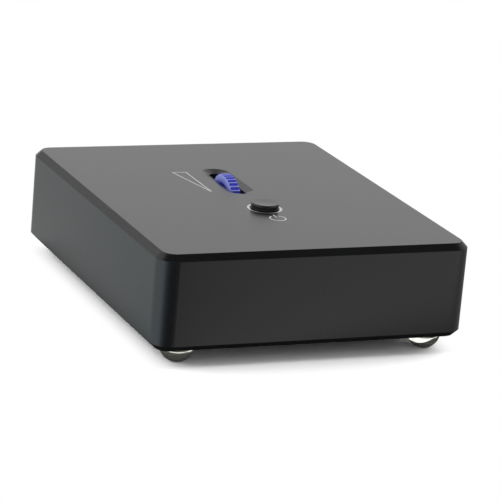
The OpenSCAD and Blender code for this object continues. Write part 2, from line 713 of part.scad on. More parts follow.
case_shell();
base_plate();
base_screws();
foot_front_left();
foot_front_right();
foot_rear_left();
foot_rear_right();
rear_panel();
rear_panel_screws();
main_board();
board_standoffs();
board_screws();
volume_wheel();
wheel_grub_screw();
pot_shaft();
pot_body();
pot_terminals();
button_bezel();
power_button();
switch_plunger();
switch_spring();
switch_body();
ground_post();
ground_lock_nut();
ground_washer();
ground_thumb_nut();
power_inlet_body();
power_inlet_pin();
gain_selector_body();
gain_selector_lever();
socket_rings_white();
socket_rings_red();
supply_capacitors();
film_capacitors();
amplifier_chips();
resistors();
voltage_regulator();
for (s = sockets) {
    socket_body(s[1]);
    socket_barrel(s[1]);
    socket_insulator(s[1]);
    socket_contact(s[1]);
}
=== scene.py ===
import math

import bmesh
import bpy
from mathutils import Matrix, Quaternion, Vector


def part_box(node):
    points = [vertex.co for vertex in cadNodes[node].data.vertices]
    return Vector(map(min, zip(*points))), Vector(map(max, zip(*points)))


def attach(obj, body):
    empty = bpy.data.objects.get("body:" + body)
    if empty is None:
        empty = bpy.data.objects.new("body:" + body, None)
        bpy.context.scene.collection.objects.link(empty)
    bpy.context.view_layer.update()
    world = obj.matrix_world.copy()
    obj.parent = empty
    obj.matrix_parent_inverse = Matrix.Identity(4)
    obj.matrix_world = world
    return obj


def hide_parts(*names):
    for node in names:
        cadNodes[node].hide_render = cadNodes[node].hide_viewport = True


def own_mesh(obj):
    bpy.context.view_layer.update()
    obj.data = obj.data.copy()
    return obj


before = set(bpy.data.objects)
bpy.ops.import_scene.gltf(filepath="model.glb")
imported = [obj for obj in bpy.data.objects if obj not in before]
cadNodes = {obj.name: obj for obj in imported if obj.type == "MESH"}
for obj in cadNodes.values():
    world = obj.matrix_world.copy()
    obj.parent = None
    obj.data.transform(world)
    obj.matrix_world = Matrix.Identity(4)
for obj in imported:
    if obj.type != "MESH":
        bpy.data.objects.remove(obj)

scene = bpy.context.scene
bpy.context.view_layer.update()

# what the marks and the new pieces are set against
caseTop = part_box("case_shell")[1].z
wheelLow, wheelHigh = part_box("volume_wheel")
wheelCentre = (wheelLow + wheelHigh) / 2
wheelRadius = (wheelHigh.z - wheelLow.z) / 2
wheelHalf = (wheelHigh.x - wheelLow.x) / 2
buttonAxis = (0.0, -0.0225)  # x and y of the power button, its ring and its spring


# node helpers

def emptyTree(owner):
    owner.use_nodes = True
    owner.node_tree.nodes.clear()
    return owner.node_tree


def addNode(tree, kind, settings=None, **values):
    node = tree.nodes.new(kind)
    for key, value in (settings or {}).items():
        setattr(node, key, value)
    for key, value in values.items():
        node.inputs[key].default_value = value
    return node


def link(tree, source, target):
    tree.links.new(source, target)


def newMaterial(name):
    material = bpy.data.materials.new(name)
    tree = emptyTree(material)
    output = addNode(tree, "ShaderNodeOutputMaterial")
    shader = addNode(tree, "ShaderNodeBsdfPrincipled")
    link(tree, shader.outputs["BSDF"], output.inputs["Surface"])
    return material, tree, shader


def calculate(tree, operation, first, second=None, third=None, clamp=False):
    node = addNode(tree, "ShaderNodeMath", {"operation": operation, "use_clamp": clamp})
    for index, value in enumerate((first, second, third)):
        if value is None:
            continue
        if isinstance(value, (int, float)):
            node.inputs[index].default_value = value
        else:
            link(tree, value, node.inputs[index])
    return node.outputs[0]


def onVector(tree, operation, first, second=None):
    node = addNode(tree, "ShaderNodeVectorMath", {"operation": operation})
    link(tree, first, node.inputs[0])
    if second is not None:
        node.inputs[1].default_value = second
    return node.outputs["Value" if operation in ("LENGTH", "DOT_PRODUCT") else "Vector"]


def splitAxes(tree, vector):
    node = addNode(tree, "ShaderNodeSeparateXYZ")
    link(tree, vector, node.inputs[0])
    return list(node.outputs)


def blendColours(tree, factor, first, second):
    node = addNode(tree, "ShaderNodeMix", {"data_type": "RGBA"})
    link(tree, factor, node.inputs[0])
    for socket, value in ((node.inputs[6], first), (node.inputs[7], second)):
        if isinstance(value, tuple):
            socket.default_value = (*value, 1)
        else:
            link(tree, value, socket)
    return node.outputs[2]


def blendShaders(tree, factor, first, second):
    node = addNode(tree, "ShaderNodeMixShader")
    for socket, source in zip(node.inputs, (factor, first, second)):
        link(tree, source, socket)
    return node.outputs[0]


def rescale(tree, value, fromLow, fromHigh, toLow=0.0, toHigh=1.0, kind="LINEAR"):
    node = addNode(tree, "ShaderNodeMapRange", {"interpolation_type": kind})
    link(tree, value, node.inputs["Value"])
    node.inputs["From Min"].default_value = fromLow
    node.inputs["From Max"].default_value = fromHigh
    node.inputs["To Min"].default_value = toLow
    node.inputs["To Max"].default_value = toHigh
    return node.outputs["Result"]


def smoothRamp(tree, value, fromLow, fromHigh, toLow=0.0, toHigh=1.0):
    return rescale(tree, value, fromLow, fromHigh, toLow, toHigh, "SMOOTHSTEP")


def place(tree):
    # where a point is on the piece, in the row frame
    return addNode(tree, "ShaderNodeTexCoord").outputs["Object"]


noiseLook = {
    "grainDetail": 3.0, "cloudDetail": 2.0, "wobbleDetail": 1.0, "roughness": 0.55,
    "span": (0.3, 0.7),  # most of a noise lies between these
}


def noise(tree, position, size, detail):
    # size is how wide one grain is, in metres
    node = addNode(tree, "ShaderNodeTexNoise", Scale=1 / size, Detail=noiseLook[detail],
                   Roughness=noiseLook["roughness"])
    link(tree, position, node.inputs["Vector"])
    return node.outputs["Fac"]


bevelSamples = 6


def relief(tree, height, depth, edge=None):
    # small relief on top of an edge that is broken by a radius, all in metres
    bump = addNode(tree, "ShaderNodeBump", Strength=1.0, Distance=depth)
    link(tree, height, bump.inputs["Height"])
    if edge:
        bevel = addNode(tree, "ShaderNodeBevel", {"samples": bevelSamples}, Radius=edge)
        link(tree, bevel.outputs["Normal"], bump.inputs["Normal"])
    return bump.outputs["Normal"]


# finishes

def makeFinish(name, s):
    # a colour with cloudy variation, a fine grain, and roughness that follows the grain
    material, tree, shader = newMaterial(name)
    position = place(tree)
    grain = noise(tree, position, s["grainSize"], "grainDetail")
    cloud = rescale(tree, noise(tree, position, s["cloudSize"], "cloudDetail"), *noiseLook["span"])
    link(tree, blendColours(tree, cloud, s["colour"], s["cloudColour"]), shader.inputs["Base Color"])
    link(tree, rescale(tree, grain, *noiseLook["span"], *s["roughness"]), shader.inputs["Roughness"])
    link(tree, relief(tree, grain, s["grainDepth"], s.get("edge")), shader.inputs["Normal"])
    shader.inputs["Metallic"].default_value = s.get("metallic", 0.0)
    for socket, value in s.get("sockets", {}).items():
        shader.inputs[socket].default_value = value
    return material, tree, shader


finishes = {
    "anodisedCase": {
        "colour": (0.0050, 0.0052, 0.0056), "cloudColour": (0.0062, 0.0065, 0.0070),
        "cloudSize": 0.02, "grainSize": 0.00011, "grainDepth": 0.0000012,
        "roughness": (0.24, 0.30), "edge": 0.00012,
        "sockets": {"Specular IOR Level": 0.5},
    },
    "blackScrew": {
        "colour": (0.012, 0.012, 0.013), "cloudColour": (0.020, 0.019, 0.019),
        "cloudSize": 0.002, "grainSize": 0.00015, "grainDepth": 0.000004,
        "roughness": (0.30, 0.42), "metallic": 0.6, "edge": 0.00006,
    },
    "blackPlastic": {
        "colour": (0.012, 0.012, 0.013), "cloudColour": (0.018, 0.018, 0.019),
        "cloudSize": 0.004, "grainSize": 0.00022, "grainDepth": 0.000012,
        "roughness": (0.42, 0.55), "edge": 0.00012,
    },
    "whiteNylon": {
        "colour": (0.74, 0.74, 0.71), "cloudColour": (0.66, 0.66, 0.62),
        "cloudSize": 0.003, "grainSize": 0.0002, "grainDepth": 0.000004,
        "roughness": (0.34, 0.44), "edge": 0.00012,
        "sockets": {"Subsurface Weight": 0.15, "Subsurface Scale": 0.001},
    },
    "whiteRing": {
        "colour": (0.78, 0.78, 0.75), "cloudColour": (0.70, 0.70, 0.67),
        "cloudSize": 0.003, "grainSize": 0.0003, "grainDepth": 0.000002,
        "roughness": (0.22, 0.30), "edge": 0.0001,
    },
    "redRing": {
        "colour": (0.46, 0.012, 0.012), "cloudColour": (0.38, 0.008, 0.010),
        "cloudSize": 0.003, "grainSize": 0.0003, "grainDepth": 0.000002,
        "roughness": (0.22, 0.30), "edge": 0.0001,
    },
    "insulator": {
        "colour": (0.70, 0.70, 0.66), "cloudColour": (0.62, 0.62, 0.57),
        "cloudSize": 0.004, "grainSize": 0.0003, "grainDepth": 0.000003,
        "roughness": (0.28, 0.38), "edge": 0.0001,
    },
    "brightSteel": {
        "colour": (0.60, 0.60, 0.61), "cloudColour": (0.52, 0.52, 0.54),
        "cloudSize": 0.003, "grainSize": 0.00012, "grainDepth": 0.000002,
        "roughness": (0.20, 0.32), "metallic": 1.0, "edge": 0.00008,
    },
    "goldPlate": {
        "colour": (0.86, 0.60, 0.24), "cloudColour": (0.76, 0.50, 0.18),
        "cloudSize": 0.004, "grainSize": 0.0002, "grainDepth": 0.000001,
        "roughness": (0.14, 0.24), "metallic": 1.0, "edge": 0.00008,
    },
    "capacitorSleeve": {
        "colour": (0.012, 0.018, 0.045), "cloudColour": (0.018, 0.026, 0.06),
        "cloudSize": 0.004, "grainSize": 0.0004, "grainDepth": 0.000004,
        "roughness": (0.22, 0.34), "edge": 0.0002,
    },
    "filmBox": {
        "colour": (0.36, 0.035, 0.020), "cloudColour": (0.28, 0.022, 0.014),
        "cloudSize": 0.003, "grainSize": 0.0003, "grainDepth": 0.000006,
        "roughness": (0.25, 0.38), "edge": 0.0002,
    },
    "resistorCoat": {
        "colour": (0.07, 0.20, 0.36), "cloudColour": (0.05, 0.15, 0.29),
        "cloudSize": 0.002, "grainSize": 0.0002, "grainDepth": 0.000004,
        "roughness": (0.25, 0.38), "edge": 0.0001,
    },
    "clearFoot": {
        "colour": (0.86, 0.88, 0.80), "cloudColour": (0.80, 0.83, 0.74),
        "cloudSize": 0.004, "grainSize": 0.0006, "grainDepth": 0.000003,
        "roughness": (0.02, 0.07),
        "sockets": {"Transmission Weight": 0.88, "IOR": 1.46},
    },
    "whiteInk": {
        "colour": (0.58, 0.58, 0.58), "cloudColour": (0.50, 0.50, 0.51),
        "cloudSize": 0.0012, "grainSize": 0.00008, "grainDepth": 0.000002,
        "roughness": (0.45, 0.6),
    },
}
made = {name: makeFinish(name, s)[0] for name, s in finishes.items()}


# black cap and polished ring, both turned on a lathe; each wobble is as wide as wobbleGrooves grooves

turnedFinishes = {
    "turnedCap": {
        "centre": buttonAxis, "colour": (0.0050, 0.0052, 0.0056), "grooveColour": (0.0040, 0.0042, 0.0046),
        "grooveWidth": 0.00016, "grooveDepth": 0.0000012, "wobbleGrooves": 6,
        "roughness": (0.22, 0.30), "edge": 0.0001,
    },
    "polishedRing": {
        "centre": buttonAxis, "colour": (0.56, 0.56, 0.57), "grooveColour": (0.48, 0.48, 0.49),
        "grooveWidth": 0.00009, "grooveDepth": 0.0000004, "wobbleGrooves": 6,
        "roughness": (0.10, 0.16), "metallic": 1.0,
    },
}


def latheMarks(tree, s):
    # fine grooves round an upright axis, from 0 to 1, not quite even
    offset = onVector(tree, "SUBTRACT", place(tree), (*s["centre"], 0))
    reach = onVector(tree, "LENGTH", onVector(tree, "MULTIPLY", offset, (1, 1, 0)))
    wobble = noise(tree, offset, s["grooveWidth"] * s["wobbleGrooves"], "wobbleDetail")
    phase = calculate(tree, "MULTIPLY_ADD", reach, 2 * math.pi / s["grooveWidth"], wobble)
    return calculate(tree, "MULTIPLY_ADD", calculate(tree, "SINE", phase), 0.5, 0.5)


def makeTurnedFinish(name, s):
    material, tree, shader = newMaterial(name)
    grooves = latheMarks(tree, s)
    link(tree, blendColours(tree, grooves, s["colour"], s["grooveColour"]), shader.inputs["Base Color"])
    link(tree, rescale(tree, grooves, 0, 1, *s["roughness"]), shader.inputs["Roughness"])
    link(tree, relief(tree, grooves, s["grooveDepth"], s.get("edge")), shader.inputs["Normal"])
    shader.inputs["Metallic"].default_value = s.get("metallic", 0.0)
    return material


for name, s in turnedFinishes.items():
    made[name] = makeTurnedFinish(name, s)


# Blue of the thumbwheel, with painted light on it. From and To are how squarely a face looks sideways for the
# flank's painted sheen, and how far inside the rim a point lies for the painted rim sheen, which leaves the
# inner flank darker as painted shade, and for the painted highlight on the ridge crests.
wheelBlue = {
    "colour": (0.028, 0.036, 0.44), "cloudColour": (0.036, 0.046, 0.52), "cloudSize": 0.003,
    "grainSize": 0.00018, "grainDepth": 0.000002, "roughness": (0.20, 0.30), "edge": 0.00030,
    "sockets": {"Specular IOR Level": 0.5, "Coat Weight": 0.6, "Coat Roughness": 0.12},
    "flankSheenColour": (0.27, 0.32, 0.76), "flankFrom": 0.55, "flankTo": 0.95,
    "rimSheenFrom": 0.0032, "rimSheenTo": 0.0012,
    "crestHighlightColour": (0.32, 0.36, 0.82), "crestHighlightFrom": 0.00018, "crestHighlightTo": 0.00004,
}


def makeWheelBlue(s):
    # blue right through; the flanks are painted paler towards the rim as a painted sheen and darker inwards
    # as painted shade, and the ridge crests carry a painted highlight
    material, tree, shader = makeFinish("wheelBlue", s)
    body = shader.inputs["Base Color"].links[0].from_socket
    coordinates = addNode(tree, "ShaderNodeTexCoord")
    sideways = calculate(tree, "ABSOLUTE", splitAxes(tree, coordinates.outputs["Normal"])[0])
    offset = onVector(tree, "SUBTRACT", coordinates.outputs["Object"], wheelCentre)
    reach = onVector(tree, "LENGTH", onVector(tree, "MULTIPLY", offset, (0, 1, 1)))
    # painted highlight on the ridge crests
    crest = rescale(tree, reach, wheelRadius - s["crestHighlightFrom"], wheelRadius - s["crestHighlightTo"])
    # painted sheen near the rim, fading inwards into painted shade on the flank
    rimSheen = rescale(tree, reach, wheelRadius - s["rimSheenFrom"], wheelRadius - s["rimSheenTo"])
    flankSheen = calculate(tree, "MULTIPLY", rescale(tree, sideways, s["flankFrom"], s["flankTo"]), rimSheen)
    colour = blendColours(tree, crest, body, s["crestHighlightColour"])
    link(tree, blendColours(tree, flankSheen, colour, s["flankSheenColour"]), shader.inputs["Base Color"])
    return material


made["wheelBlue"] = makeWheelBlue(wheelBlue)


# share, length and pitch of the tracks are in cells
boardFinish = {
    "mask": (0.010, 0.085, 0.032), "maskCloud": (0.014, 0.105, 0.042), "cloudSize": 0.01,
    "copper": (0.030, 0.190, 0.075), "relief": 0.00003, "roughness": (0.24, 0.36),
    "trackCell": 0.0088, "trackShare": 0.04, "trackBlur": 0.2, "trackLength": 1.4, "trackPitch": 0.35,
    "trackPattern": {"offset": 0.37, "squash": 0.6, "squash_frequency": 3},
}


def makeBoard(s):
    # solder mask, paler over the copper tracks that run under it
    material, tree, shader = newMaterial("board")
    position = place(tree)
    tracks = addNode(tree, "ShaderNodeTexBrick", s["trackPattern"], Scale=1 / s["trackCell"])
    tracks.inputs["Mortar Size"].default_value = s["trackShare"]
    tracks.inputs["Mortar Smooth"].default_value = s["trackBlur"]
    tracks.inputs["Brick Width"].default_value = s["trackLength"]
    tracks.inputs["Row Height"].default_value = s["trackPitch"]
    link(tree, position, tracks.inputs["Vector"])
    cloud = noise(tree, position, s["cloudSize"], "cloudDetail")
    mask = blendColours(tree, cloud, s["mask"], s["maskCloud"])
    link(tree, blendColours(tree, tracks.outputs["Fac"], mask, s["copper"]), shader.inputs["Base Color"])
    link(tree, rescale(tree, cloud, *noiseLook["span"], *s["roughness"]), shader.inputs["Roughness"])
    link(tree, relief(tree, tracks.outputs["Fac"], s["relief"]), shader.inputs["Normal"])
    return material


made["board"] = makeBoard(boardFinish)
print("finishes:", len(made))


# which node takes which finish
nodeFinish = {
    "anodisedCase": ["case_shell", "base_plate", "rear_panel"],
    "turnedCap": ["power_button"],
    "polishedRing": ["button_bezel"],
    "wheelBlue": ["volume_wheel"],
    "clearFoot": ["foot_front_left", "foot_front_right", "foot_rear_left", "foot_rear_right"],
    "blackScrew": ["base_screws", "rear_panel_screws", "wheel_grub_screw"],
    "board": ["main_board"],
    "brightSteel": ["board_standoffs", "board_screws", "pot_shaft", "pot_body", "pot_terminals",
                    "switch_spring", "ground_washer", "power_inlet_pin"],
    "whiteNylon": ["switch_plunger", "gain_selector_lever"],
    "blackPlastic": ["switch_body", "power_inlet_body", "gain_selector_body", "amplifier_chips",
                     "voltage_regulator"],
    "goldPlate": ["ground_post", "ground_lock_nut", "ground_thumb_nut"],
    "whiteRing": ["socket_rings_white"],
    "redRing": ["socket_rings_red"],
    "insulator": [],
    "capacitorSleeve": ["supply_capacitors"],
    "filmBox": ["film_capacitors"],
    "resistorCoat": ["resistors"],
}
for socket in ("input_left", "input_right", "output_left", "output_right"):
    nodeFinish["blackPlastic"].append(socket + "_body")
    nodeFinish["goldPlate"] += [socket + "_barrel", socket + "_contact"]
    nodeFinish["insulator"].append(socket + "_insulator")
for finish, names in nodeFinish.items():
    for name in names:
        surfaces = cadNodes[name].data.materials
        for index in range(len(surfaces)):
            surfaces[index] = made[finish]
unfinished = sorted(set(cadNodes) - {name for names in nodeFinish.values() for name in names})
print("nodes finished:", len(cadNodes) - len(unfinished), "without a finish:", unfinished)


# mesh helpers

def bridge(mesh, loops, closed=False):
    # skin over loops of points, round to the first loop again or with a flat face at each end
    followers = loops[1:] + loops[:1] if closed else loops[1:]
    for here, after in zip(loops, followers):
        for i in range(len(here)):
            j = (i + 1) % len(here)
            mesh.faces.new((here[i], here[j], after[j], after[i]))
    if not closed:
        mesh.faces.new(loops[0])
        mesh.faces.new(loops[-1])
    bmesh.ops.recalc_face_normals(mesh, faces=mesh.faces)


def showMesh(name, mesh, material):
    data = bpy.data.meshes.new(name)
    mesh.to_mesh(data)
    mesh.free()
    data.materials.append(material)
    piece = bpy.data.objects.new(name, data)
    scene.collection.objects.link(piece)
    return piece


def finishPiece(name, mesh, finish, body, smoothAngle=None):
    piece = showMesh(name, mesh, made[finish])
    if smoothAngle:
        for face in piece.data.polygons:
            face.use_smooth = True
        piece.data.set_sharp_from_angle(angle=math.radians(smoothAngle))
    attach(piece, body)
    return piece


# printed marks on the top

inkHeight = 0.000012
mitreLimit = 3.0  # how far a corner of ink may reach, in half line widths


def strokeSides(points, width, closed):
    # the two edges of a line of ink, with its corners mitred
    count = len(points)
    sides = ([], [])
    for index in range(count):
        here = Vector(points[index])
        before = Vector(points[index - 1]) if closed or index > 0 else None
        after = Vector(points[(index + 1) % count]) if closed or index < count - 1 else None
        first = (here - before).normalized() if before is not None else None
        second = (after - here).normalized() if after is not None else None
        first = first or second
        second = second or first
        along = (first + second).normalized()
        across = Vector((-along.y, along.x))
        square = Vector((-first.y, first.x))
        reach = width / 2 / max(across.dot(square), 1 / mitreLimit)
        sides[0].append(here + across * reach)
        sides[1].append(here - across * reach)
    return sides


def printStroke(name, points, width, closed=False):
    # ink as a thin solid that stands on the case top
    mesh = bmesh.new()
    loops = []
    for a, b in zip(*strokeSides(points, width, closed)):
        corners = ((a, 0), (a, inkHeight), (b, inkHeight), (b, 0))
        loops.append([mesh.verts.new((p.x, p.y, caseTop + rise)) for p, rise in corners])
    bridge(mesh, loops, closed)
    finishPiece(name, mesh, "whiteInk", "case")


wedgeMark = {
    "corners": [(-0.0100, -0.0026), (-0.0100, 0.0198), (-0.0146, 0.0198), (-0.0102, -0.0026)],
    "lineWidth": 0.00040,
}
printStroke("volume_wedge", wedgeMark["corners"], wedgeMark["lineWidth"], closed=True)


powerSign = {
    "centre": (-0.0002, -0.0335), "radius": 0.0025, "gap": 28.0, "steps": 56, "lineWidth": 0.00044,
    "bar": [(-0.0002, -0.0324), (-0.0002, -0.0297)],
}


def printPowerSign(s):
    # a ring that is open at the back, by the gap in degrees either way, and a bar in the opening
    points = []
    for i in range(s["steps"] + 1):
        angle = math.radians(90 + s["gap"] + (360 - 2 * s["gap"]) * i / s["steps"])
        points.append((s["centre"][0] + s["radius"] * math.cos(angle),
                       s["centre"][1] + s["radius"] * math.sin(angle)))
    printStroke("power_sign_ring", points, s["lineWidth"])
    printStroke("power_sign_bar", s["bar"], s["lineWidth"])


printPowerSign(powerSign)
print("marks printed")


# ground post with its thread

threadedPost = {
    "x": 0.0098, "z": 0.0201, "start": 0.046, "collarStart": 0.055, "collarEnd": 0.057, "end": 0.067,
    "crest": 0.00200, "root": 0.00174, "pitch": 0.0007, "collar": 0.0045, "bevel": 0.00018,
    "startBevel": 0.0003, "endBevel": 0.0004, "relief": 0.0001, "flankSlope": 1.6, "rootShare": 0.3,
    "sides": 64, "steps": 10, "smoothAngle": 32,
}


def makeThreadedPost(s):
    mesh = bmesh.new()
    loops = []

    def addLoop(y, radiusAt):
        loop = []
        for i in range(s["sides"]):
            angle = 2 * math.pi * i / s["sides"]
            r = radiusAt(angle)
            loop.append(mesh.verts.new((s["x"] + r * math.cos(angle), y, s["z"] + r * math.sin(angle))))
        loops.append(loop)

    def threadRadius(y, taper):
        def at(angle):
            turn = (y / s["pitch"] - angle / (2 * math.pi)) % 1
            ridge = min(1.0, max(0.0, s["flankSlope"] * (1 - abs(2 * turn - 1)) - s["rootShare"]))
            return s["root"] + (s["crest"] - s["root"]) * ridge * taper
        return at

    def addThread(low, high):
        # the thread runs out over one pitch at both ends
        steps = int((high - low) / s["pitch"] * s["steps"])
        for i in range(steps + 1):
            y = low + (high - low) * i / steps
            taper = min(1.0, (y - low) / s["pitch"], (high - y) / s["pitch"])
            addLoop(y, threadRadius(y, max(0.0, taper)))

    collarSection = [
        (s["collarStart"], s["root"]), (s["collarStart"], s["collar"] - s["bevel"]),
        (s["collarStart"] + s["bevel"], s["collar"]), (s["collarEnd"] - s["bevel"], s["collar"]),
        (s["collarEnd"], s["collar"] - s["bevel"]), (s["collarEnd"], s["root"]),
    ]
    addLoop(s["start"], lambda angle: s["root"] - s["startBevel"])
    addThread(s["start"] + s["startBevel"], s["collarStart"] - s["relief"])
    for y, radius in collarSection:
        addLoop(y, lambda angle: radius)
    addThread(s["collarEnd"] + s["relief"], s["end"] - s["endBevel"])
    addLoop(s["end"], lambda angle: s["root"] - s["endBevel"])
    bridge(mesh, loops)
    post = finishPiece("ground_post_thread", mesh, "goldPlate", "case", s["smoothAngle"])
    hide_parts("ground_post")


makeThreadedPost(threadedPost)
print("ground post threaded")


# bright ring round the power button, turned with a round top

turnedRing = {
    "centre": buttonAxis, "bottom": 0.0319, "flange": 0.03503, "top": 0.03518, "gapBottom": 0.0344,
    "bore": 0.00448, "gap": 0.00475, "tube": 0.00518, "edge": 0.0056,
    "roundSteps": 16, "sides": 128, "smoothAngle": 40,
}


def makeTurnedRing(s):
    # the section, as pairs of radius and height, turned round the button's axis
    middle, reach, rise = (s["gap"] + s["edge"]) / 2, (s["edge"] - s["gap"]) / 2, s["top"] - s["flange"]
    section = [(s["bore"], s["bottom"]), (s["tube"], s["bottom"]), (s["tube"], s["flange"])]
    for i in range(s["roundSteps"] + 1):
        angle = math.pi * i / s["roundSteps"]
        section.append((middle + reach * math.cos(angle), s["flange"] + rise * math.sin(angle)))
    section += [(s["gap"], s["gapBottom"]), (s["bore"], s["gapBottom"])]
    mesh = bmesh.new()
    loops = []
    centreX, centreY = s["centre"]
    for i in range(s["sides"]):
        turn = 2 * math.pi * i / s["sides"]
        alongX, alongY = math.cos(turn), math.sin(turn)
        loops.append([mesh.verts.new((centreX + r * alongX, centreY + r * alongY, z)) for r, z in section])
    bridge(mesh, loops, closed=True)
    ring = finishPiece("button_ring_turned", mesh, "polishedRing", "case", s["smoothAngle"])
    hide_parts("button_bezel")


makeTurnedRing(turnedRing)
print("button ring turned")


# return spring under the power button

returnSpring = {
    "centre": buttonAxis, "coil": 0.00285, "wire": 0.00028, "bottom": 0.0218, "top": 0.0328, "travel": 0.0016,
    "endTurns": 1.0, "endPitch": 0.00060, "turns": 7.0, "steps": 30, "sides": 12, "smoothAngle": 50,
}


def springHeight(s, turn):
    # closed coils at both ends, open ones between
    low, high = s["bottom"] + s["wire"], s["top"] - s["wire"]
    closed = s["endTurns"] * s["endPitch"]
    if turn < s["endTurns"]:
        return low + turn * s["endPitch"]
    if turn > s["turns"] - s["endTurns"]:
        return high - (s["turns"] - turn) * s["endPitch"]
    share = (turn - s["endTurns"]) / (s["turns"] - 2 * s["endTurns"])
    return low + closed + (high - low - 2 * closed) * share


def makeReturnSpring(s):
    mesh = bmesh.new()
    loops = []
    up = Vector((0, 0, 1))
    around = [2 * math.pi * j / s["sides"] for j in range(s["sides"])]
    for i in range(int(s["turns"] * s["steps"]) + 1):
        turn = i / s["steps"]
        out = Vector((math.cos(2 * math.pi * turn), math.sin(2 * math.pi * turn), 0))
        middle = Vector((*s["centre"], springHeight(s, turn))) + out * s["coil"]
        loops.append([mesh.verts.new(middle + (out * math.cos(a) + up * math.sin(a)) * s["wire"])
                      for a in around])
    bridge(mesh, loops)
    spring = finishPiece("return_spring", mesh, "brightSteel", "case", s["smoothAngle"])
    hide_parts("switch_spring")
    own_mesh(spring)


makeReturnSpring(returnSpring)
print("return spring wound")


# thumbwheel, with ridges, soft shoulders and hollow flanks

ridgedWheel = {
    "ridges": 40, "steps": 10, "grooveDepth": 0.00046, "crestPower": 2.0, "treadSteps": 4,
    "bore": 0.00302, "bevel": 0.00015, "hub": 0.0047, "hollow": 0.0005, "hollowSteps": 12,
    "shoulderDrop": 0.0024, "shoulderReach": 0.00055, "shoulderSteps": 12, "smoothAngle": 50,
    "screwHole": 0.0010, "screwHoleSides": 32, "pastTread": 0.001,
}


def wheelSide(s):
    # half of the section, from the bore out to the tread, as pairs of radius and distance from the middle
    side = [(s["bore"], wheelHalf - s["bevel"]), (s["bore"] + s["bevel"], wheelHalf)]
    rim = wheelRadius - s["shoulderDrop"]
    for i in range(s["hollowSteps"] + 1):
        share = i / s["hollowSteps"]
        sink = s["hollow"] * math.sin(math.pi * share) ** 2
        side.append((s["hub"] + (rim - s["hub"]) * share, wheelHalf - sink))
    for i in range(1, s["shoulderSteps"] + 1):
        angle = math.pi / 2 * i / s["shoulderSteps"]
        side.append((rim + s["shoulderDrop"] * math.sin(angle),
                     wheelHalf - s["shoulderReach"] * (1 - math.cos(angle))))
    return side


def cutScrewHole(wheel, s):
    # the grub screw goes in from the tread, straight up to the axle
    depth = wheelRadius + s["pastTread"]
    tool = bmesh.new()
    bmesh.ops.create_cone(tool, cap_ends=True, segments=s["screwHoleSides"], radius1=s["screwHole"],
                          radius2=s["screwHole"], depth=depth)
    bmesh.ops.translate(tool, vec=wheelCentre - Vector((0, 0, depth / 2)), verts=tool.verts)
    cutter = showMesh("screw_hole", tool, made["wheelBlue"])
    cut = wheel.modifiers.new("hole", "BOOLEAN")
    cut.operation = "DIFFERENCE"
    cut.solver = "EXACT"
    cut.object = cutter
    bpy.context.view_layer.update()
    shaped = bpy.data.meshes.new_from_object(wheel.evaluated_get(bpy.context.evaluated_depsgraph_get()))
    wheel.modifiers.clear()
    wheel.data = shaped
    bpy.data.objects.remove(cutter)


def makeRidgedWheel(s):
    side = wheelSide(s)
    edge = side[-1][1]
    tread = [(wheelRadius, edge - 2 * edge * i / s["treadSteps"]) for i in range(1, s["treadSteps"])]
    section = side + tread + [(radius, -x) for radius, x in reversed(side)]
    mesh = bmesh.new()
    loops = []
    for i in range(s["ridges"] * s["steps"]):
        angle = 2 * math.pi * i / (s["ridges"] * s["steps"])
        crest = (0.5 + 0.5 * math.cos(angle * s["ridges"])) ** s["crestPower"]
        limit = wheelRadius - s["grooveDepth"] * (1 - crest)
        loop = []
        for radius, x in section:
            reach = min(radius, limit)
            loop.append(mesh.verts.new((wheelCentre.x + x, wheelCentre.y + reach * math.cos(angle),
                                        wheelCentre.z + reach * math.sin(angle))))
        loops.append(loop)
    bridge(mesh, loops, closed=True)
    wheel = finishPiece("volume_wheel_ridged", mesh, "wheelBlue", "gain_wheel", s["smoothAngle"])
    cutScrewHole(wheel, s)
    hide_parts("volume_wheel")


makeRidgedWheel(ridgedWheel)
print("thumbwheel ridged")


# floor, surroundings and lights

# The foot box is what the case covers, and outside it the painted shadow on the floor that gloss sees lifts.
# The seen floor goes from its paint, which takes shadow, to a plain white glow over shadowReach round the
# shadow box, which cuts the shadow off there.
floorLook = {
    "size": 2.4, "squares": 8, "colour": 0.80, "shownColour": 1.50,
    "footCentre": (0.0, -0.006, 0.0), "footHalf": (0.051, 0.061, 0.0),
    "shadowHalf": (0.0430, 0.061, 0.0), "shadowReach": (0.0090, 0.018, 1.0),
}

# What gloss sees of the floor is painted on as glow: a painted shadow under the object, and round the foot of
# its front left corner a painted tone for each direction, in degrees from straight ahead, which gives painted
# light and dark in the reflections. The painted light on the left is a little cool.
mirrorLook = {
    "corner": (-0.049, -0.065), "paintedShadowTone": 0.06, "paintedShadowFade": 0.014,
    "sweeps": [
        {"tint": (1, 1, 1), "tones": [(-180, 0.76), (14, 0.07), (23, 0.58), (66, 0.90), (79, 0.40),
                                      (110, 0.28), (180, 0.66)]},
        {"tint": (0.91, 1.01, 1.03), "tones": [(-156, 0.57), (-134, 0.84), (-100, 1.30)]},
        {"tint": (0.82, 1.01, 1.17), "tones": [(-78, 1.43), (-52, 0.35), (-30, 0.08)]},
    ],
}


def beyond(tree, fromCentre, half):
    # how far a point lies outside a box, along each axis
    return onVector(tree, "MAXIMUM", onVector(tree, "SUBTRACT", fromCentre, half), (0, 0, 0))


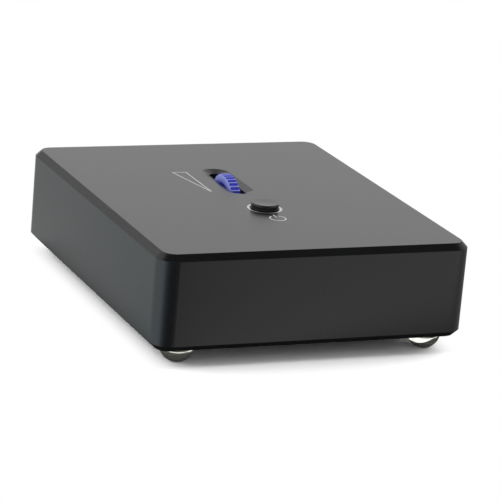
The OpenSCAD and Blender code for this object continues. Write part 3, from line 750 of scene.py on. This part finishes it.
def mirroredFloor(tree, position, outside, s):
    x, y = splitAxes(tree, position)[:2]
    angle = calculate(tree, "ARCTAN2", calculate(tree, "SUBTRACT", x, s["corner"][0]),
                      calculate(tree, "SUBTRACT", s["corner"][1], y))
    ramp = addNode(tree, "ShaderNodeValToRGB")
    link(tree, rescale(tree, angle, -math.pi, math.pi), ramp.inputs[0])
    # painted tones round the front left corner, seen in gloss as painted reflections
    stops = [(degrees, [level * part for part in sweep["tint"]])
             for sweep in s["sweeps"] for degrees, level in sweep["tones"]]
    while len(ramp.color_ramp.elements) < len(stops):
        ramp.color_ramp.elements.new(0.5)
    for stop, (degrees, colour) in zip(ramp.color_ramp.elements, sorted(stops)):
        stop.position = degrees / 360 + 0.5
        stop.color = (*colour, 1)
    mirrored = addNode(tree, "ShaderNodeEmission")
    link(tree, ramp.outputs["Color"], mirrored.inputs["Color"])
    # painted shadow under and near the object, as the floor is seen in gloss
    tone = smoothRamp(tree, outside, 0.0, s["paintedShadowFade"], s["paintedShadowTone"], 1.0)
    link(tree, tone, mirrored.inputs["Strength"])
    return mirrored.outputs[0]


def makeFloor(s):
    material = bpy.data.materials.new("floor")
    tree = emptyTree(material)
    path = addNode(tree, "ShaderNodeLightPath")
    seen = calculate(tree, "MAXIMUM", path.outputs["Is Camera Ray"], path.outputs["Is Transmission Ray"])
    paint = addNode(tree, "ShaderNodeBsdfDiffuse")
    link(tree, rescale(tree, seen, 0, 1, s["colour"], s["shownColour"]), paint.inputs["Color"])
    glow = addNode(tree, "ShaderNodeEmission", Strength=1.0, Color=(1, 1, 1, 1))
    position = place(tree)
    fromCentre = onVector(tree, "ABSOLUTE", onVector(tree, "SUBTRACT", position, s["footCentre"]))
    outside = onVector(tree, "LENGTH", beyond(tree, fromCentre, s["footHalf"]))
    # away from the object, beyond the shadow box and its reach, the seen floor glows plain white, and this
    # painted light cuts off the object's shadow there
    away = onVector(tree, "DIVIDE", beyond(tree, fromCentre, s["shadowHalf"]), s["shadowReach"])
    far = smoothRamp(tree, onVector(tree, "LENGTH", away), 0, 1)
    plain = blendShaders(tree, calculate(tree, "MULTIPLY", far, seen), paint.outputs[0], glow.outputs[0])
    mirrored = mirroredFloor(tree, position, outside, mirrorLook)
    above = blendShaders(tree, path.outputs["Is Glossy Ray"], plain, mirrored)
    # one-sided, so the underside can be looked at from below
    below = addNode(tree, "ShaderNodeBsdfTransparent").outputs[0]
    underneath = addNode(tree, "ShaderNodeNewGeometry").outputs["Backfacing"]
    surface = blendShaders(tree, underneath, above, below)
    link(tree, surface, addNode(tree, "ShaderNodeOutputMaterial").inputs["Surface"])
    mesh = bmesh.new()
    bmesh.ops.create_grid(mesh, x_segments=s["squares"], y_segments=s["squares"], size=s["size"])
    floor = showMesh("floor", mesh, material)


makeFloor(floorLook)


# Levels of the world. Those after lamp are what gloss reflects. From and To are where each change starts
# and ends: along darkTowards for the dark, along y for the rear, and along x for the left and the right.
surroundings = {
    "seen": 1.0, "lamp": 0.50, "horizon": 0.95, "overhead": 0.05,
    "darkTowards": (0, -0.342, 0.940), "darkFrom": 0.50, "darkTo": 0.80,
    "rearLeft": 0.68, "rearFrom": 0.45, "rearTo": 0.75, "leftFrom": 0.04, "leftTo": -0.22,
    "right": 0.60, "rightFrom": 0.52, "rightTo": 0.78,
}


def mirroredSky(tree, direction, s):
    # dark overhead and a little to the front, and dimmer at the rear left and on the right
    towards = onVector(tree, "DOT_PRODUCT", direction, s["darkTowards"])
    level = smoothRamp(tree, towards, s["darkFrom"], s["darkTo"], s["horizon"], s["overhead"])
    x, y = splitAxes(tree, direction)[:2]
    rear = smoothRamp(tree, y, s["rearFrom"], s["rearTo"])
    rearLeft = calculate(tree, "MULTIPLY", rear, smoothRamp(tree, x, s["leftTo"], s["leftFrom"], 1.0, 0.0))
    level = calculate(tree, "MULTIPLY", level, rescale(tree, rearLeft, 0, 1, 1, s["rearLeft"]))
    right = smoothRamp(tree, x, s["rightFrom"], s["rightTo"], 1.0, s["right"])
    return calculate(tree, "MULTIPLY", level, right)


def makeSurroundings(s):
    # white where it is seen, with a plain level for light and a sky of its own for gloss
    world = bpy.data.worlds.new("studio")
    scene.world = world
    tree = emptyTree(world)
    path = addNode(tree, "ShaderNodeLightPath")
    glossy = path.outputs["Is Glossy Ray"]
    seen = calculate(tree, "MAXIMUM", path.outputs["Is Camera Ray"], path.outputs["Is Transmission Ray"])
    rest = calculate(tree, "SUBTRACT", 1.0, calculate(tree, "ADD", glossy, seen), clamp=True)
    sky = mirroredSky(tree, addNode(tree, "ShaderNodeTexCoord").outputs["Generated"], s)
    level = calculate(tree, "MULTIPLY", glossy, sky)
    level = calculate(tree, "MULTIPLY_ADD", seen, s["seen"], level)
    level = calculate(tree, "MULTIPLY_ADD", rest, s["lamp"], level)
    background = addNode(tree, "ShaderNodeBackground", Color=(1, 1, 1, 1))
    link(tree, level, background.inputs["Strength"])
    link(tree, background.outputs[0], addNode(tree, "ShaderNodeOutputWorld").inputs["Surface"])


makeSurroundings(surroundings)


softboxes = {
    "left": {"at": (-0.90, 0.08, 0.62), "size": (0.70, 0.70), "power": 6.0},
    "right": {"at": (0.90, 0.08, 0.62), "size": (0.70, 0.70), "power": 7.0},
}
softboxAim = Vector((0, 0, 0.015))


def makeSoftbox(name, s):
    lamp = bpy.data.lights.new(name, "AREA")
    lamp.shape = "RECTANGLE"
    lamp.size, lamp.size_y = s["size"]
    lamp.energy = s["power"]
    lamp.color = (1, 1, 1)
    holder = bpy.data.objects.new(name, lamp)
    holder.location = s["at"]
    holder.rotation_mode = "QUATERNION"
    holder.rotation_quaternion = (softboxAim - Vector(s["at"])).to_track_quat("-Z", "Y")
    holder.visible_glossy = False
    scene.collection.objects.link(holder)


for name, s in softboxes.items():
    makeSoftbox(name, s)
print("floor, surroundings and lights placed")


# camera

cameraSettings = {
    "lookAt": (0.00184, -0.010, 0.01747), "azimuth": 24.05, "elevation": 16.69, "roll": 5.0,
    "distance": 0.8674, "lens": 196.4, "sensor": 36, "nearest": 0.01, "farthest": 20,
}


def makeCamera(s):
    data = bpy.data.cameras.new("camera")
    data.lens = s["lens"]
    data.sensor_width = s["sensor"]
    data.clip_start = s["nearest"]
    data.clip_end = s["farthest"]
    camera = bpy.data.objects.new("camera", data)
    turn, lift = math.radians(s["azimuth"]), math.radians(s["elevation"])
    back = Vector((-math.sin(turn) * math.cos(lift), -math.cos(turn) * math.cos(lift), math.sin(lift)))
    camera.location = Vector(s["lookAt"]) + back * s["distance"]
    camera.rotation_mode = "QUATERNION"
    tilt = Quaternion((0, 0, 1), math.radians(s["roll"]))
    camera.rotation_quaternion = (-back).to_track_quat("-Z", "Y") @ tilt
    scene.collection.objects.link(camera)
    scene.camera = camera


makeCamera(cameraSettings)
scene.view_settings.view_transform = "Standard"
